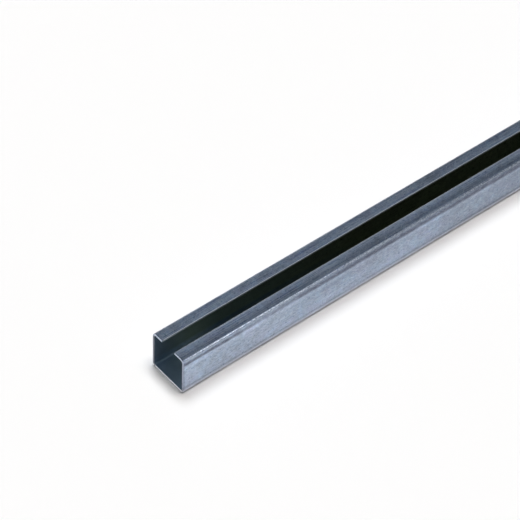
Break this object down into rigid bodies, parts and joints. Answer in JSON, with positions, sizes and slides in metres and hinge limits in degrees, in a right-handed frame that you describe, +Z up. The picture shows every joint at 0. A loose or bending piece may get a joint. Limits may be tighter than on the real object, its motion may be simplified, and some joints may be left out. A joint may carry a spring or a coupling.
{
  "type": "metal channel section",
  "caption": "Lipped channel section, rolled from steel strip, that is fixed by its flat web and takes slide nuts, hangers or trolleys along its open slot.",
  "frame": {"origin": "on the underside of the web, on the bar's centre line, halfway along its length", "axes": "+X along the bar, +Z up from the web towards the slot, and +Y to the left when looking along +X"},
  "size_m": [1, 0.03, 0.03],
  "materials": {
    "zinc_coated_steel": "zinc-coated cold-rolled strip, satin, with fine lines along its length"
  },
  "bodies": {
    "root": {"channel_section": "zinc_coated_steel"}
  },
  "joints": []
}
